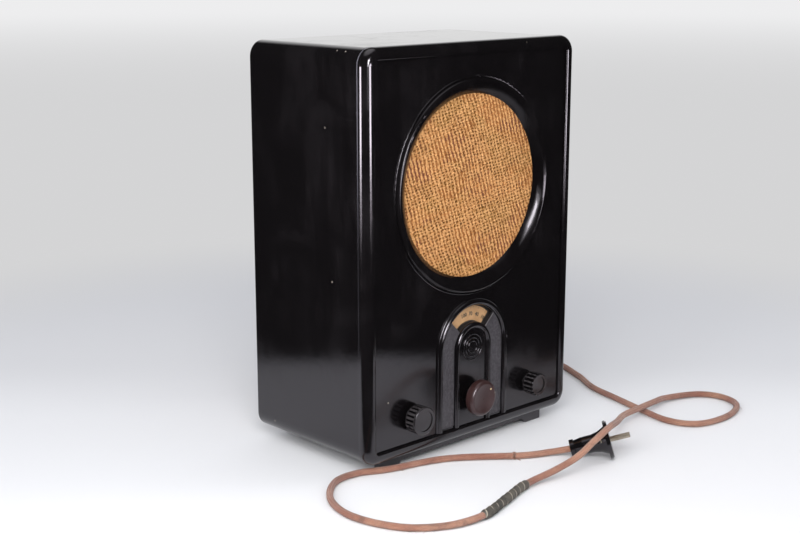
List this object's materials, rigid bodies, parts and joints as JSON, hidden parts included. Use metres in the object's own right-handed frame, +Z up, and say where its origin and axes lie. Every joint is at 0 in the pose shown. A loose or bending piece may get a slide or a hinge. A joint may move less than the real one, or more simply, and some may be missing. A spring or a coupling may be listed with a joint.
{
  "type": "radio_receiver",
  "caption": "Upright black moulded mains table radio: round cloth loudspeaker in a moulded ring, arched dial window with turning scale, three knobs, braided cord and two-pin plug.",
  "frame": {"origin": "Middle of the radio's footprint, on the table that its feet stand on; the free cord and its plug aren't counted", "axes": "+Z up; -Y out of the front panel towards the listener; +X to the listener's right"},
  "size_m": [0.5084, 0.3847, 0.391],
  "materials": {
    "bakelite": "polished moulded phenolic, near black",
    "knob_black": "moulded phenolic, near black",
    "knob_brown": "moulded phenolic, dark red-brown",
    "plinth": "dull black",
    "cloth": "open woven loudspeaker cloth",
    "board": "bare plywood",
    "pressboard": "brown pressed board",
    "steel": "plated steel",
    "sheet_steel": "dull zinc plate",
    "basket_steel": "dark grey paint",
    "magnet_red": "red-brown paint",
    "paper": "stiff buff paper cone",
    "coil": "enamelled wire under varnish",
    "aluminium": "bare sheet",
    "dial": "dull dark paint",
    "scale_paper": "aged paper with plain figures",
    "brass": "turned brass",
    "dot": "cream index spot",
    "phenolic_brown": "brown laminated sheet",
    "core_iron": "varnished iron sheets",
    "glass": "clear blown glass",
    "anode": "dark carbonised metal",
    "can": "waxed can",
    "resistor": "red-brown lacquer",
    "braid": "cotton braid, worn red-brown",
    "tape": "old cloth tape",
    "rubber": "black rubber",
    "pin_metal": "dull nickelled brass"
  },
  "bodies": {
    "case": {"cabinet_shell": "bakelite", "front_moulding": "bakelite", "speaker_ring": "bakelite", "dial_arch": "bakelite", "cross_rails": "plinth", "side_rails": "plinth", "feet": "plinth", "chassis_bolts": "steel", "speaker_cloth": "cloth", "speaker_board": "board", "board_screws": "steel", "speaker_basket": "basket_steel", "speaker_cone": "paper", "speaker_magnet": "magnet_red", "speaker_coil": "coil", "armature_reed": "steel", "chassis": "sheet_steel", "shaft_bushes": "brass", "capacitor_frame": "sheet_steel", "tuning_stator": "aluminium", "reaction_capacitor": "phenolic_brown", "band_switch": "phenolic_brown", "aerial_coil": "phenolic_brown", "coil_winding": "coil", "transformer_core": "core_iron", "transformer_coil": "coil", "valve_sockets": "phenolic_brown", "valve_bases": "knob_black", "valve_bulbs": "glass", "valve_anodes": "anode", "smoothing_can": "can", "resistor_board": "resistor", "socket_strip": "phenolic_brown", "wander_sockets": "brass", "back_cover": "pressboard", "cover_screws": "steel", "cord_bush": "rubber", "strain_relief": "rubber", "mains_cord": "braid", "cord_tape": "tape", "plug_body": "bakelite", "plug_pins": "pin_metal"},
    "dial": {"dial_disc": "dial", "dial_scale": "scale_paper", "rotor_shaft": "steel", "tuning_rotor": "aluminium"},
    "tuning": {"tuning_shaft": "steel", "friction_roller": "brass", "tuning_knob": "knob_brown", "tuning_grub_screw": "brass", "index_dot": "dot"},
    "reaction": {"reaction_shaft": "steel", "reaction_rotor": "aluminium", "reaction_knob": "knob_black", "reaction_grub_screw": "brass"},
    "band": {"switch_shaft": "steel", "switch_wiper": "brass", "switch_knob": "knob_black", "switch_grub_screw": "brass"}
  },
  "joints": [
    {"name": "dial_spin", "type": "hinge", "parent": "case", "child": "dial", "pos_m": [0, -0.042, 0.1005], "axis": [0, -1, 0], "range_deg": [-170, 10]},
    {"name": "tuning_spin", "type": "hinge", "parent": "case", "child": "tuning", "pos_m": [0, -0.056, 0.052], "axis": [0, -1, 0], "range_deg": [-66, 1116]},
    {"name": "reaction_spin", "type": "hinge", "parent": "case", "child": "reaction", "pos_m": [-0.08, -0.056, 0.0485], "axis": [0, -1, 0], "range_deg": [-120, 60]},
    {"name": "band_spin", "type": "hinge", "parent": "case", "child": "band", "pos_m": [0.08, -0.056, 0.0485], "axis": [0, -1, 0], "range_deg": [0, 120]}
  ],
  "couplings": [
    {"joint": "tuning_spin", "follows": "dial_spin", "ratio": -6.5625}
  ]
}
